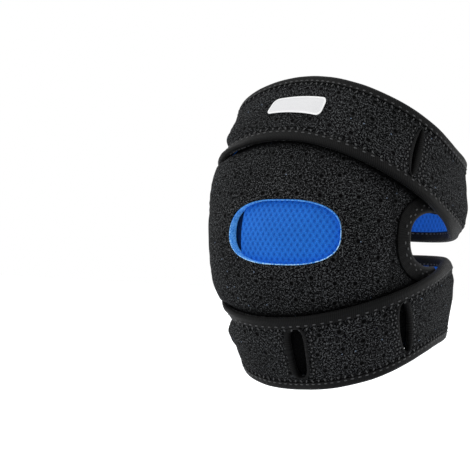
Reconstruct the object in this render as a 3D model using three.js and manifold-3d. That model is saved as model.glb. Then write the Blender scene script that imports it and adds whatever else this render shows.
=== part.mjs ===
// Open-patella knee support: a bent front panel with a kneecap opening, and a strap above and below it.
// Millimetres. The leg runs along +Z, its front faces -Y, and the origin is the middle of the knee.
import * as THREE from 'three';
import { mergeVertices } from 'three/addons/utils/BufferGeometryUtils.js';
import Module from 'manifold-3d';

const wasm = await Module();
wasm.setup();

const degree = Math.PI / 180;

// The bent leg that the support is shaped on
const bendRadius = 162.5;         // from the bend's axis, behind the knee, to the middle of the leg
const sectionAngle = 17.2 * degree;  // turn about the bend's axis from the knee to the thigh or the calf
const legWidth = { thigh: 111.5, knee: 107.5, calf: 93.5 };
const legDepth = { thigh: 100.4, knee: 116.4, calf: 99.6 };
const sectionPower = 2.57;        // 2 is an ellipse, more is squarer
const kneecap = { rise: 15.6, around: 75 * degree, along: 11.1 * degree };
const hollows = [                 // where the straps draw the cloth in, each depth a share of half the knee's width
  { around: -66 * degree, along: -11.0 * degree, spread: 36 * degree, reach: 5.0 * degree, depth: 0.052 },
  { around: -66 * degree, along: 13.0 * degree, spread: 36 * degree, reach: 4.6 * degree, depth: 0.04 },
  { around: 112 * degree, along: -1.2 * degree, spread: 29 * degree, reach: 5.0 * degree, depth: 0.062 },
];

// Cloth: what lies where, counted outwards
const foamWall = 3.0;
const meshWall = 1.0;
const bindingWall = 0.8;
const bindingWidth = 5.2;
const pieceGap = 0.3;
const strapLift = 0.8;            // between the panel and the strap that crosses it

// Front panel
const wingEnd = 90 * degree;      // how far round its wings reach under the straps
const notchBottom = { right: 58.4 * degree, left: 64 * degree };
const notchMiddle = 0.8 * degree;
const notchHeight = 25.5;
const notchPower = 2.6;
const wingReach = 14;             // past the middle of a strap, under it

// Kneecap opening and the pad that shows through it
const openingWidth = 60;
const openingHeight = 31;
const openingPower = 2.7;
const openingPlace = { around: 4.2 * degree, along: 0.95 * degree };
const rimWall = 1.0;
const padMargin = 5.5;            // how far the pad reaches past the opening
const padWall = 3.0;
const padDrop = 0.8;              // between the panel's lining and the pad
const padCrown = 1.8;

// Straps: the height of the middle line at the front, back and sides, as turns about the bend's axis
const strapWidth = { upper: 41.8, lower: 42.4 };
const upperLine = { front: 17.9 * degree, right: 10.4 * degree, back: 12.6 * degree, left: 12.6 * degree };
const lowerLine = { front: -14.9 * degree, right: -11.1 * degree, back: -14.9 * degree, left: -13.2 * degree };
const strapRecess = { upper: 6.5, lower: 4.5 };  // taken off the edge towards the knee on the left side
const recessPlace = { around: -72 * degree, spread: 34 * degree };
const strapStart = 91.5 * degree; // on the left side, behind the wing's end
const strapOverlap = 33 * degree; // the outer end lies this far over its own start
const riseFrom = 150 * degree;    // on the right side the strap climbs from the panel's level to over it
const riseTo = 105 * degree;
const hookLength = 26 * degree;
const hookWidth = 27;

// Slits through the straps, as a place round the leg and a height above the strap's middle line
const slitRim = 1.5;
const slitTip = 0.4;              // share of that rim which is left at a slit's pointed ends
const slitPower = 1.5;
const slits = {
  upper: { strap: 'upper', around: 57.0 * degree, height: -0.9, length: 26.5, width: 1.8, lean: 5.1 * degree },
  front: { strap: 'lower', around: 6.7 * degree, height: 0.9, length: 27.0, width: 7.6, lean: 2.8 * degree },
  side: { strap: 'lower', around: 57.4 * degree, height: 0.6, length: 27.6, width: 4.8, lean: -6.2 * degree },
};

// Label on the upper strap
const label = {
  around: -2.6 * degree, height: 0, width: 40, tall: 10.2, lean: 1.8, taper: 0.12, wall: 0.6, corner: 3.4,
};
const labelLift = 0.6;            // over the strap's foam

// How finely the surfaces are faceted
const strapSteps = 32;            // in a whole turn, so that the overlapping ends share their stations
const panelColumns = 16;
const notchRows = 10;
const ovalSteps = 28;
const slitSteps = 12;
const labelSteps = 16;

// Levels that follow from the walls
const panelWall = foamWall + pieceGap + meshWall;
const strapWall = meshWall + pieceGap + foamWall;
const innerLevel = -panelWall;
const tongueInset = bindingWall + pieceGap;
const pressedRamp = 0.5;          // over which the foam regains its thickness beside a binding

// Value at a share of -1, 0 or 1 from three named sizes, on a parabola between them
function between(calf, knee, thigh, share) {
  return knee + (thigh - calf) / 2 * share + ((thigh + calf) / 2 - knee) * share * share;
}

// How far the cloth is drawn in at a place
function hollowDepth(turn, along) {
  return hollows.reduce((sum, hollow) => sum + hollow.depth * legWidth.knee / 2
    * Math.exp(-(((turn - hollow.around) / hollow.spread) ** 2) - ((along - hollow.along) / hollow.reach) ** 2), 0);
}

// Point on the bent leg: around from the front towards +X, along about the bend's axis, out from the skin
function legPoint(around, along, out) {
  const side = Math.sin(around);
  const front = Math.cos(around);
  const share = along / sectionAngle;
  const level = out - hollowDepth(Math.atan2(side, front), along);
  const halfWidth = between(legWidth.calf, legWidth.knee, legWidth.thigh, share) / 2 + level;
  const halfDepth = between(legDepth.calf, legDepth.knee, legDepth.thigh, share) / 2 + level;
  const sum = Math.abs(side / halfWidth) ** sectionPower + Math.abs(front / halfDepth) ** sectionPower;
  const turn = Math.atan2(side, front);
  const cap = kneecap.rise * Math.exp(-((turn / kneecap.around) ** 2) - (along / kneecap.along) ** 2);
  const reach = sum ** (-1 / sectionPower) + cap;
  const arm = bendRadius + reach * front;
  return new THREE.Vector3(reach * side, bendRadius - arm * Math.cos(along), arm * Math.sin(along));
}

// Arms that turn millimetres on the cloth into angles
function armAlong(around) {
  return bendRadius + legDepth.knee / 2 * Math.cos(around);
}

const frontArm = legDepth.knee / 2 + kneecap.rise;
const sideArm = legWidth.knee / 2;

// Middle line of a strap, smooth through its four named heights
function strapLine(line, around) {
  const sides = (line.right + line.left) / 2;
  const ends = (line.front + line.back) / 2;
  return (ends + sides) / 2 + (line.front - line.back) / 2 * Math.cos(around)
    + (line.right - line.left) / 2 * Math.sin(around) + (ends - sides) / 2 * Math.cos(2 * around);
}

const strapLines = { upper: upperLine, lower: lowerLine };

// Where the inner face of a strap lies, at a travel from its start round the back to its outer end
function strapLevel(travel) {
  const climb = 2 * Math.PI - strapStart - riseFrom;
  const climbed = 2 * Math.PI - strapStart - riseTo;
  return THREE.MathUtils.lerp(innerLevel, strapLift, THREE.MathUtils.smoothstep(travel, climb, climbed));
}

// Height above the middle line, once the edge towards the knee is set back on the left side
function recessed(name, around, across) {
  const inward = name === 'upper' ? -1 : 1;
  const turn = Math.atan2(Math.sin(around), Math.cos(around));
  const near = Math.exp(-(((turn - recessPlace.around) / recessPlace.spread) ** 2));
  return across - inward * strapRecess[name] * near * (1 + inward * across / (strapWidth[name] / 2)) / 2;
}

function strapPoint(name, travel, across, out) {
  const around = -strapStart - travel;
  const along = strapLine(strapLines[name], around) + recessed(name, around, across) / armAlong(around);
  return legPoint(around, along, strapLevel(travel) + out);
}

// Point on the front of a strap, where it lies over the panel
function strapFrontPoint(name, around, across, out) {
  return strapPoint(name, 2 * Math.PI - strapStart - around, across, out);
}

// Place on an oval of half sizes x and y
function oval(turn, x, y, power) {
  const c = Math.cos(turn);
  const s = Math.sin(turn);
  return [x * Math.sign(c) * Math.abs(c) ** (2 / power), y * Math.sign(s) * Math.abs(s) ** (2 / power)];
}

function range(count, from, to) {
  return Array.from({ length: count + 1 }, (_, i) => from + (to - from) * i / count);
}

// Geometry from points and faces, turned so that its faces point out
function closedGeometry(points, faces) {
  let volume = 0;
  for (const [a, b, c] of faces) {
    volume += points[a].dot(new THREE.Vector3().crossVectors(points[b], points[c]));
  }
  const index = volume > 0 ? faces.flat() : faces.map(([a, b, c]) => [a, c, b]).flat();
  const geometry = new THREE.BufferGeometry();
  geometry.setAttribute('position', new THREE.Float32BufferAttribute(points.flatMap((p) => p.toArray()), 3));
  geometry.setIndex(index);
  return geometry;
}

// A sheet with two faces over a grid of rows and ribs, closed by walls round its border
function sheetGeometry(rows, ribs, place) {
  const points = [];
  for (const upper of [false, true]) {
    rows.forEach((row) => ribs.forEach((rib) => points.push(place(row, rib, upper))));
  }
  const layer = rows.length * ribs.length;
  const at = (i, j, upper) => (upper ? layer : 0) + i * ribs.length + j;
  const faces = [];
  const quad = (a, b, c, d) => faces.push([a, b, c], [a, c, d]);
  for (let i = 0; i + 1 < rows.length; i++) {
    for (let j = 0; j + 1 < ribs.length; j++) {
      quad(at(i, j, true), at(i + 1, j, true), at(i + 1, j + 1, true), at(i, j + 1, true));
      quad(at(i, j, false), at(i, j + 1, false), at(i + 1, j + 1, false), at(i + 1, j, false));
    }
  }
  const last = ribs.length - 1;
  const end = rows.length - 1;
  for (let i = 0; i < end; i++) {
    quad(at(i, 0, false), at(i + 1, 0, false), at(i + 1, 0, true), at(i, 0, true));
    quad(at(i, last, true), at(i + 1, last, true), at(i + 1, last, false), at(i, last, false));
  }
  for (let j = 0; j < last; j++) {
    quad(at(0, j, true), at(0, j + 1, true), at(0, j + 1, false), at(0, j, false));
    quad(at(end, j, false), at(end, j + 1, false), at(end, j + 1, true), at(end, j, true));
  }
  return closedGeometry(points, faces);
}

// A section of corners swept through stations, as a loop or with two flat ends
function stripGeometry(stations, corners, place, loop = false) {
  const points = stations.flatMap((station) => corners.map((corner) => place(station, corner)));
  const count = corners.length;
  const faces = [];
  const spans = loop ? stations.length : stations.length - 1;
  for (let i = 0; i < spans; i++) {
    const next = (i + 1) % stations.length;
    for (let j = 0; j < count; j++) {
      const k = (j + 1) % count;
      const [a, b, c, d] = [i * count + j, next * count + j, next * count + k, i * count + k];
      faces.push([a, b, c], [a, c, d]);
    }
  }
  if (!loop) {
    const flat = corners.map(([x, y]) => new THREE.Vector2(x, y));
    const clockwise = THREE.ShapeUtils.isClockWise(flat);
    const last = (stations.length - 1) * count;
    for (const [a, b, c] of THREE.ShapeUtils.triangulateShape(flat, [])) {
      const cap = clockwise ? [a, b, c] : [a, c, b];
      faces.push([cap[2], cap[1], cap[0]], cap.map((corner) => corner + last));
    }
  }
  return closedGeometry(points, faces);
}

// A plate of rings inside an outline: place(share, turn, upper) with share 0 in the middle and 1 at the edge
function plateGeometry(rings, steps, place) {
  const turns = range(steps, 0, 2 * Math.PI).slice(0, -1);
  const points = [];
  for (const upper of [false, true]) {
    points.push(place(0, 0, upper));
    for (let ring = 1; ring <= rings; ring++) {
      turns.forEach((turn) => points.push(place(ring / rings, turn, upper)));
    }
  }
  const layer = 1 + rings * steps;
  const at = (ring, k, upper) => (upper ? layer : 0) + (ring ? 1 + (ring - 1) * steps + k % steps : 0);
  const faces = [];
  for (let k = 0; k < steps; k++) {
    faces.push([at(0, 0, true), at(1, k, true), at(1, k + 1, true)]);
    faces.push([at(0, 0, false), at(1, k + 1, false), at(1, k, false)]);
    for (let ring = 1; ring < rings; ring++) {
      for (const upper of [true, false]) {
        const [a, b] = [at(ring, k, upper), at(ring + 1, k, upper)];
        const [c, d] = [at(ring + 1, k + 1, upper), at(ring, k + 1, upper)];
        faces.push(...(upper ? [[a, b, c], [a, c, d]] : [[a, c, b], [a, d, c]]));
      }
    }
    const [a, b] = [at(rings, k, true), at(rings, k, false)];
    const [c, d] = [at(rings, k + 1, false), at(rings, k + 1, true)];
    faces.push([a, b, c], [a, c, d]);
  }
  return closedGeometry(points, faces);
}

function toSolid(geometry) {
  const bare = new THREE.BufferGeometry();
  bare.setAttribute('position', geometry.getAttribute('position'));
  bare.setIndex(geometry.getIndex());
  const merged = mergeVertices(bare);
  return new wasm.Manifold(new wasm.Mesh({
    numProp: 3,
    vertProperties: Float32Array.from(merged.getAttribute('position').array),
    triVerts: Uint32Array.from(merged.getIndex().array),
  }));
}

// Geometry less its cutters, without the loose slivers that a grazing cut leaves
function cutGeometry(geometry, cutters) {
  const solid = cutters.reduce((left, cutter) => left.subtract(toSolid(cutter)), toSolid(geometry));
  const whole = solid.decompose().reduce((big, piece) => (piece.volume() > big.volume() ? piece : big));
  const mesh = whole.getMesh();
  const result = new THREE.BufferGeometry();
  result.setAttribute('position', new THREE.Float32BufferAttribute(mesh.vertProperties, 3));
  result.setIndex(new THREE.Uint32BufferAttribute(mesh.triVerts, 1));
  return result;
}

// Finishes of the cloths
const finishes = {
  loopCloth: { color: 0x2b2c2f, roughness: 0.95, metalness: 0 },
  blueMesh: { color: 0x2468c8, roughness: 0.7, metalness: 0 },
  cutEdge: { color: 0x6fb2ee, roughness: 0.6, metalness: 0 },
  wovenTape: { color: 0x35363a, roughness: 0.8, metalness: 0 },
  hookTape: { color: 0x17181a, roughness: 0.6, metalness: 0 },
  labelCloth: { color: 0xd9dadc, roughness: 0.5, metalness: 0 },
};

const support = new THREE.Group();

function addPiece(name, geometry, finish) {
  geometry.computeVertexNormals();
  const mesh = new THREE.Mesh(geometry, new THREE.MeshStandardMaterial(finishes[finish]));
  mesh.name = name;
  support.add(mesh);
}

// Edge of a side notch: a half oval that opens at the wings' ends, moved into the panel by inset
function notchPlace(side, turn, inset, past = 0) {
  const depth = (wingEnd - notchBottom[side]) * sideArm;
  const [x, y] = oval(turn, depth + inset, notchHeight / 2 + inset, notchPower);
  return { around: wingEnd + (past - Math.abs(x)) / sideArm, along: notchMiddle + y / armAlong(wingEnd) };
}

// Rows of the panel, from its lower edge past both notches to its upper edge
function panelRows() {
  const notchTurns = range(notchRows, -90 * degree, 90 * degree);
  const rows = notchTurns.map((turn) => ({ turn, share: 0 }));
  const outer = range(3, 0, 1).slice(1);
  return [...outer.toReversed().map((share) => ({ turn: notchTurns[0], share: -share })), ...rows,
    ...outer.map((share) => ({ turn: notchTurns[notchRows], share }))];
}

function panelPlace(row, column, out) {
  const side = column < 0 ? 'left' : 'right';
  const edge = notchPlace(side, row.turn, 0);
  const around = column * edge.around;
  const strap = row.share < 0 ? 'lower' : 'upper';
  const border = strapLine(strapLines[strap], around) + Math.sign(row.share) * wingReach / armAlong(around);
  const along = THREE.MathUtils.lerp(edge.along, border, Math.abs(row.share));
  return legPoint(around, along, out);
}

function panelSheet(low, high) {
  const columns = range(panelColumns, -1, 1);
  return sheetGeometry(panelRows(), columns, (row, column, upper) => panelPlace(row, column, upper ? high : low));
}

// A strip that follows a notch's edge: corners are inset from the edge and out from the skin
function notchStrip(side, corners, past = 0) {
  const mirror = side === 'left' ? -1 : 1;
  const turns = range(notchRows, -90 * degree, 90 * degree);
  const stations = turns.map((turn) => ({ turn, past: 0 }));
  if (past) {
    stations.unshift({ turn: turns.at(0), past });
    stations.push({ turn: turns.at(-1), past });
  }
  return stripGeometry(stations, corners, (station, [inset, out]) => {
    const place = notchPlace(side, station.turn, inset, station.past);
    return legPoint(mirror * place.around, place.along, out);
  });
}

// Channel of binding folded over an edge, with the edge in its slot
function channel(width, low, high) {
  return [[0, low], [width, low], [width, low + bindingWall], [bindingWall, low + bindingWall],
    [bindingWall, high - bindingWall], [width, high - bindingWall], [width, high], [0, high]];
}

// What the panel's cloths leave free for that binding
function channelRoom(low, high) {
  const past = bindingWidth + pieceGap;
  const spare = 2;
  const slot = [low + bindingWall + pieceGap, high - bindingWall - pieceGap];
  return [[-spare, low - spare], [past, low - spare], [past, slot[0]], [tongueInset, slot[0]],
    [tongueInset, slot[1]], [past, slot[1]], [past, high + spare], [-spare, high + spare]];
}

function openingPoint(turn, grow, out) {
  const [x, y] = oval(turn, openingWidth / 2 + grow, openingHeight / 2 + grow, openingPower);
  const around = openingPlace.around + x / frontArm;
  return legPoint(around, openingPlace.along + y / (bendRadius + frontArm), out);
}

function openingTurns() {
  return range(ovalSteps, 0, 2 * Math.PI).slice(0, -1);
}

function openingCutter(grow) {
  const spare = 4;
  return plateGeometry(1, ovalSteps, (share, turn, upper) => {
    const out = upper ? spare : -panelWall - spare;
    return share ? openingPoint(turn, grow, out) : legPoint(openingPlace.around, openingPlace.along, out);
  });
}

function buildPanel() {
  const room = channelRoom(-panelWall, 0);
  const notches = ['right', 'left'].map((side) => notchStrip(side, room, bindingWidth));
  const cutters = [...notches, openingCutter(rimWall + pieceGap)];
  addPiece('body_panel', cutGeometry(panelSheet(-foamWall, 0), cutters), 'loopCloth');
  const lining = panelSheet(-panelWall, -foamWall - pieceGap);
  addPiece('body_lining', cutGeometry(lining, cutters), 'blueMesh');
  for (const side of ['right', 'left']) {
    addPiece(`side_binding_${side}`, notchStrip(side, channel(bindingWidth, -panelWall, 0)), 'wovenTape');
  }
}

function buildOpening() {
  const rim = [[0, -panelWall], [rimWall, -panelWall], [rimWall, pieceGap], [0, pieceGap]];
  const rimPlace = (turn, [grow, out]) => openingPoint(turn, grow, out);
  addPiece('opening_rim', stripGeometry(openingTurns(), rim, rimPlace, true), 'cutEdge');
  const top = -panelWall - padDrop;
  const pad = plateGeometry(4, ovalSteps, (share, turn, upper) => {
    const edge = new THREE.Vector2(...oval(turn, openingWidth / 2 + padMargin, openingHeight / 2 + padMargin,
      openingPower)).multiplyScalar(share);
    const crown = padCrown * Math.max(0, 1 - (share / 0.75) ** 2);
    const around = openingPlace.around + edge.x / frontArm;
    const along = openingPlace.along + edge.y / (bendRadius + frontArm);
    return legPoint(around, along, upper ? top + crown : top - padWall + crown);
  });
  addPiece('knee_pad', pad, 'blueMesh');
}

// Slit outline on its strap, grown by some millimetres
function slitPoint(slit, turn, grow, out) {
  const [x, y] = oval(turn, slit.width / 2 + grow, slit.length / 2 + grow * slitTip, slitPower);
  const around = slit.around + slit.lean * y / slit.length + x / frontArm;
  return strapFrontPoint(slit.strap, around, slit.height + y, out);
}

function slitCutter(slit) {
  const spare = 3;
  return plateGeometry(1, slitSteps, (share, turn, upper) => {
    const out = upper ? strapWall + spare : -spare;
    const middle = strapFrontPoint(slit.strap, slit.around, slit.height, out);
    return share ? slitPoint(slit, turn, slitRim + pieceGap, out) : middle;
  });
}

function buildSlitBinding(name, slit) {
  const turns = range(slitSteps, 0, 2 * Math.PI).slice(0, -1);
  const ring = [[0, 0], [slitRim, 0], [slitRim, strapWall + pieceGap], [0, strapWall + pieceGap]];
  addPiece(name, stripGeometry(turns, ring, (turn, [grow, out]) => slitPoint(slit, turn, grow, out), true), 'wovenTape');
}

function buildStrap(name) {
  const half = strapWidth[name] / 2;
  const travelEnd = 2 * Math.PI + strapOverlap;
  const step = 2 * Math.PI / strapSteps;
  const travels = [...range(Math.ceil(travelEnd / step) - 1, 0, 1).map((_, i) => i * step), travelEnd];
  const cutters = Object.values(slits).filter((slit) => slit.strap === name).map(slitCutter);
  const place = (travel, rib, upper) => strapPoint(name, travel, rib.across, upper ? rib.high : rib.low);

  // The cloth is pressed thinner inside its binding
  const foamLow = meshWall + pieceGap;
  const tongue = { low: tongueInset, high: strapWall - bindingWall };
  const pressed = bindingWidth + pressedRamp / 5;
  const flat = half - pressed - pressedRamp;
  const middle = range(3, -flat, flat).map((across) => ({ across, low: foamLow, high: strapWall }));
  const edge = (side, inset) => ({ across: side * (half - inset), low: tongue.low, high: tongue.high });
  const ribs = [edge(-1, tongueInset), edge(-1, pressed), ...middle, edge(1, pressed), edge(1, tongueInset)];
  addPiece(`${name}_strap`, cutGeometry(sheetGeometry(travels, ribs, place), cutters), 'loopCloth');

  // The lining stops where the hook tape takes its place
  const hookStart = travelEnd - hookLength;
  const liningTravels = [...travels.filter((travel) => travel < hookStart - 2 * degree), hookStart - degree];
  const liningRibs = range(3, -flat, flat).map((across) => ({ across, low: 0, high: meshWall }));
  const lining = sheetGeometry(liningTravels, liningRibs, place);
  addPiece(`${name}_strap_lining`, cutGeometry(lining, cutters), 'blueMesh');

  const hookTravels = [hookStart, ...travels.filter((travel) => travel > hookStart + 2 * degree)];
  const hookRibs = range(3, -hookWidth / 2, hookWidth / 2).map((across) => ({ across, low: 0, high: meshWall }));
  addPiece(`${name}_hook_tab`, sheetGeometry(hookTravels, hookRibs, place), 'hookTape');

  const fold = channel(bindingWidth, 0, strapWall + pieceGap);
  for (const [edgeName, side] of [['top', 1], ['bottom', -1]]) {
    const binding = stripGeometry(travels, fold, (travel, [inset, out]) => {
      return strapPoint(name, travel, side * (half - inset), out);
    });
    addPiece(`${name}_strap_${edgeName}_binding`, binding, 'wovenTape');
  }
}

function buildLabel() {
  const low = strapWall + labelLift;
  const { width, tall, corner, lean } = label;
  const plate = plateGeometry(2, labelSteps, (share, turn, upper) => {
    const [cornerX, cornerY] = oval(turn, corner, corner, 2);
    const x = cornerX + Math.sign(Math.cos(turn)) * (width / 2 - corner);
    const y = cornerY + Math.sign(Math.sin(turn)) * (tall / 2 - corner);
    const slant = lean * y / tall;
    const widened = y * (1 + label.taper * 2 * x / width);
    const around = label.around + share * (x + slant) / frontArm;
    return strapFrontPoint('upper', around, label.height + share * widened, upper ? low + label.wall : low);
  });
  addPiece('label_patch', plate, 'labelCloth');
}

buildPanel();
buildOpening();
buildStrap('upper');
buildStrap('lower');
buildSlitBinding('upper_slit_binding', slits.upper);
buildSlitBinding('lower_slit_binding_front', slits.front);
buildSlitBinding('lower_slit_binding_side', slits.side);
buildLabel();

export default support;
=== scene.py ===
import math

import bpy
from mathutils import Matrix, Vector, noise


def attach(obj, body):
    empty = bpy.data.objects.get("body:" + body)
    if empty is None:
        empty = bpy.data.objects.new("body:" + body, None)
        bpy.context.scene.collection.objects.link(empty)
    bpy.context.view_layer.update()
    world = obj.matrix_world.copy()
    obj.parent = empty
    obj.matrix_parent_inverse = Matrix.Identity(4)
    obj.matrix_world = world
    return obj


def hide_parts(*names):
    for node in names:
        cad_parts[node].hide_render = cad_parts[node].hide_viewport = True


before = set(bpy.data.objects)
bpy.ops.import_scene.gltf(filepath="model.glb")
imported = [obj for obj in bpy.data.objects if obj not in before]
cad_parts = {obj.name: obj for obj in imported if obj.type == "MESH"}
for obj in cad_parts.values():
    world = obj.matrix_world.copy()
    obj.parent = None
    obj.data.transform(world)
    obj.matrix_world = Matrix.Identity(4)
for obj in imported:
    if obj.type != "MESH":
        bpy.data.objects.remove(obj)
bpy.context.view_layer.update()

mm = 0.001
degree = math.pi / 180

# The bent leg that the cloth is laid on, as the frame has it
leg = {
    "bendRadius": 162.5,
    "sectionAngle": 17.2 * degree,
    "width": (93.5, 107.5, 111.5),      # calf, knee, thigh
    "depth": (99.6, 116.4, 100.4),
    "power": 2.57,
    "capRise": 15.6,
    "capAround": 75 * degree,
    "capAlong": 11.1 * degree,
}

# Where the straps draw the cloth in, or leave it full: heights in degrees and how deep it lies there
hollows = [
    {"around": -66 * degree, "spread": 36 * degree,
     "profile": [(-22, 0.3), (-17, 1.6), (-15.6, 2.2), (-14.4, 1.0), (-13.4, -0.3), (-12.5, 0.8),
                 (-11.3, 4.2), (-10.5, 4.0), (-9.5, 1.6), (-8.2, -1.8), (-7, -2.2), (-6, -2.0),
                 (-5.2, -1.3), (-4, -0.4), (-2, 0.7), (0, 1.0), (3.2, 0.0), (4.2, -0.9), (5.1, -2.0),
                 (6.5, -3.1), (8, -4.2), (9.3, -4.6), (10.3, -4.7), (11.8, -3.6), (12.7, -1.3),
                 (13.7, -0.4), (15, -2.3), (16.2, 0.0), (17.0, 1.0), (17.8, 1.4), (19, 1.1),
                 (21, 0.8), (27, 0.0)]},
    {"around": 112 * degree, "spread": 25 * degree,
     "profile": [(-12, 0.0), (-8, 1.0), (-5, 3.4), (-2.4, 6.2), (0, 5.2), (2, 3.2), (5, 0.0),
                 (8, -0.8), (12, 0.2), (16, 1.2), (24, 0.0)]},
]

# Walls of the cloths, counted outwards from the leg
cloth = {
    "foam": 3.0,
    "mesh": 1.0,
    "gap": 0.3,
    "tape": 0.8,
    "tapeWidth": 5.4,
    "strapLift": 0.8,
    "shell": 2.2,                       # the drawn part of the loop cloth, over the lining
    "grain": 1.25,                      # size of a grid cell
}
panelWall = cloth["foam"] + cloth["gap"] + cloth["mesh"]
strapWall = panelWall
frontArm = leg["depth"][1] / 2 + leg["capRise"]
sideArm = leg["width"][1] / 2


def smooth(value, low, high):
    share = min(1, max(0, (value - low) / (high - low)))
    return share * share * (3 - 2 * share)


def bell(value, middle, spread):
    return math.exp(-((value - middle) / spread) ** 2)


def fromFront(around):
    return math.atan2(math.sin(around), math.cos(around))


def between(sizes, share):
    calf, knee, thigh = sizes
    return knee + (thigh - calf) / 2 * share + ((thigh + calf) / 2 - knee) * share * share


upper = {
    "name": "upper_strap",
    "width": 41.8,
    "front": 17.9 * degree, "right": 10.4 * degree, "back": 12.6 * degree, "left": 12.6 * degree,
    "flareTop": 0.2, "flareBottom": 0.9,
    "inner": -1, "recess": 10.0, "tuck": 4.8,
}
lower = {
    "name": "lower_strap",
    "width": 42.4,
    "front": -14.9 * degree, "right": -11.1 * degree, "back": -14.9 * degree, "left": -13.2 * degree,
    "flareTop": 0.7, "flareBottom": 0.2,
    "inner": 1, "recess": 5.0, "tuck": 5.0,
}
strapPath = {
    "start": 91.5 * degree,         # on the left side, behind the panel's wing
    "overlap": 33 * degree,
    "riseFrom": 150 * degree,
    "riseTo": 105 * degree,
    "hook": 26 * degree,
    "hookWidth": 27,
    "recessAt": -80 * degree,       # where the straps are narrowed at their inner edges
    "recessSpread": 34 * degree,
    "tuckAt": -68 * degree,         # where those edges press into the panel
    "tuckSpread": 36 * degree,
    "tuckRise": (-1.6, -0.1),       # from their edge inwards, how the panel dips and comes back
    "tuckFade": (9, 22),
    "sink": 1.3,                    # how far the edges sink into the foam there
}
strapArm = 62                       # mean reach of a strap, for its length
travelEnd = 2 * math.pi + strapPath["overlap"]


def strapLine(strap, around):
    sides = (strap["right"] + strap["left"]) / 2
    ends = (strap["front"] + strap["back"]) / 2
    return ((ends + sides) / 2 + (strap["front"] - strap["back"]) / 2 * math.cos(around)
            + (strap["right"] - strap["left"]) / 2 * math.sin(around)
            + (ends - sides) / 2 * math.cos(2 * around))


def armAlong(around):
    return leg["bendRadius"] + leg["depth"][1] / 2 * math.cos(around)


def strapRecess(strap, around, height):
    share = (1 + strap["inner"] * height / (strap["width"] / 2)) / 2
    near = bell(fromFront(around), strapPath["recessAt"], strapPath["recessSpread"])
    return height - strap["inner"] * strap["recess"] * share * near


def nearestStrap(height):
    return lower if height < 0 else upper


# How far a place lies past the inner edge of the nearest strap, under it
def underStrap(around, along):
    strap = nearestStrap(along)
    edge = strapRecess(strap, around, strap["inner"] * strap["width"] / 2) / armAlong(around)
    return strap["inner"] * (strapLine(strap, around) + edge - along) * armAlong(around)


# How deep the straps' inner edges press into the panel on the left
def nearTuck(turn):
    return bell(turn, strapPath["tuckAt"], strapPath["tuckSpread"])


def tuckAt(turn, along):
    near = nearTuck(turn)
    if near < 0.01:
        return 0
    under = underStrap(turn, along)
    dip = smooth(under, *strapPath["tuckRise"]) * (1 - smooth(under, *strapPath["tuckFade"]))
    return nearestStrap(along)["tuck"] * near * dip


def hollowAt(around, along):
    turn = fromFront(around)
    height = along / degree
    total = 0
    for hollow in hollows:
        depth = 0
        for (low, first), (high, last) in zip(hollow["profile"], hollow["profile"][1:]):
            if low <= height < high:
                depth = first + (last - first) * smooth(height, low, high)
        total += depth * bell(turn, hollow["around"], hollow["spread"])
    return total + tuckAt(turn, along)


def legPoint(around, along, out):
    out -= hollowAt(around, along)
    share = along / leg["sectionAngle"]
    halfWidth = between(leg["width"], share) / 2 + out
    halfDepth = between(leg["depth"], share) / 2 + out
    side, front = math.sin(around), math.cos(around)
    power = leg["power"]
    total = abs(side / halfWidth) ** power + abs(front / halfDepth) ** power
    turn = math.atan2(side, front)
    cap = leg["capRise"] * math.exp(-(turn / leg["capAround"]) ** 2 - (along / leg["capAlong"]) ** 2)
    reach = total ** (-1 / power) + cap
    arm = leg["bendRadius"] + reach * front
    return Vector((reach * side, leg["bendRadius"] - arm * math.cos(along), arm * math.sin(along))) * mm


def oval(turn, x, y, power):
    c, s = math.cos(turn), math.sin(turn)
    return (math.copysign(abs(c) ** (2 / power), c) * x, math.copysign(abs(s) ** (2 / power), s) * y)


def selectOnly(*pieces):
    bpy.ops.object.select_all(action="DESELECT")
    for piece in pieces:
        piece.select_set(True)
    if pieces:
        bpy.context.view_layer.objects.active = pieces[0]


def applyModifier(piece, kind, **settings):
    selectOnly(piece)
    bpy.ops.object.modifier_add(type=kind)
    modifier = piece.modifiers[-1]
    for name, value in settings.items():
        setattr(modifier, name, value)
    bpy.ops.object.modifier_apply(modifier=modifier.name)


def editAll(piece, operation, **settings):
    selectOnly(piece)
    bpy.ops.object.mode_set(mode="EDIT")
    bpy.ops.mesh.select_all(action="SELECT")
    operation(**settings)
    bpy.ops.object.mode_set(mode="OBJECT")


# A flat grid over x and y from -1 to 1
def flatGrid(name, columns, rows):
    selectOnly()
    bpy.ops.mesh.primitive_grid_add(x_subdivisions=columns, y_subdivisions=rows, size=2)
    piece = bpy.context.object
    piece.name = name
    piece.data.name = name
    return piece


# Moves each vertex from x, y of the grid to its place on the pattern: around, height and out
def lay(piece, pattern):
    for vertex in piece.data.vertices:
        vertex.co = pattern(vertex.co.x, vertex.co.y)


# Cuts an oval out of the pattern, or cuts off all but it. local gives the x and y in the oval of a place
# on the pattern, and back gives the place of such an x and y
def trim(piece, halfX, halfY, power, local, back, keepInside=False):
    def reach(co):
        x, y = local(co)
        return abs(x / halfX) ** power + abs(y / halfY) ** power

    editAll(piece, bpy.ops.mesh.select_all, action="DESELECT")
    vertices = piece.data.vertices
    for vertex in vertices:
        vertex.select = (reach(vertex.co) < 1) != keepInside
    marked = {vertex.index for vertex in vertices if vertex.select}
    border = set()
    for face in piece.data.polygons:
        kept = [index for index in face.vertices if index not in marked]
        if 0 < len(kept) < len(face.vertices):
            border.update(kept)
    for index in border:
        co = vertices[index].co
        scale = reach(co) ** (-1 / power)
        x, y = local(co)
        vertices[index].co = Vector((*back(x * scale, y * scale), co.z))
    bpy.ops.object.mode_set(mode="EDIT")
    bpy.ops.mesh.select_mode(type="VERT")
    bpy.ops.mesh.delete(type="VERT")
    bpy.ops.object.mode_set(mode="OBJECT")


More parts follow.
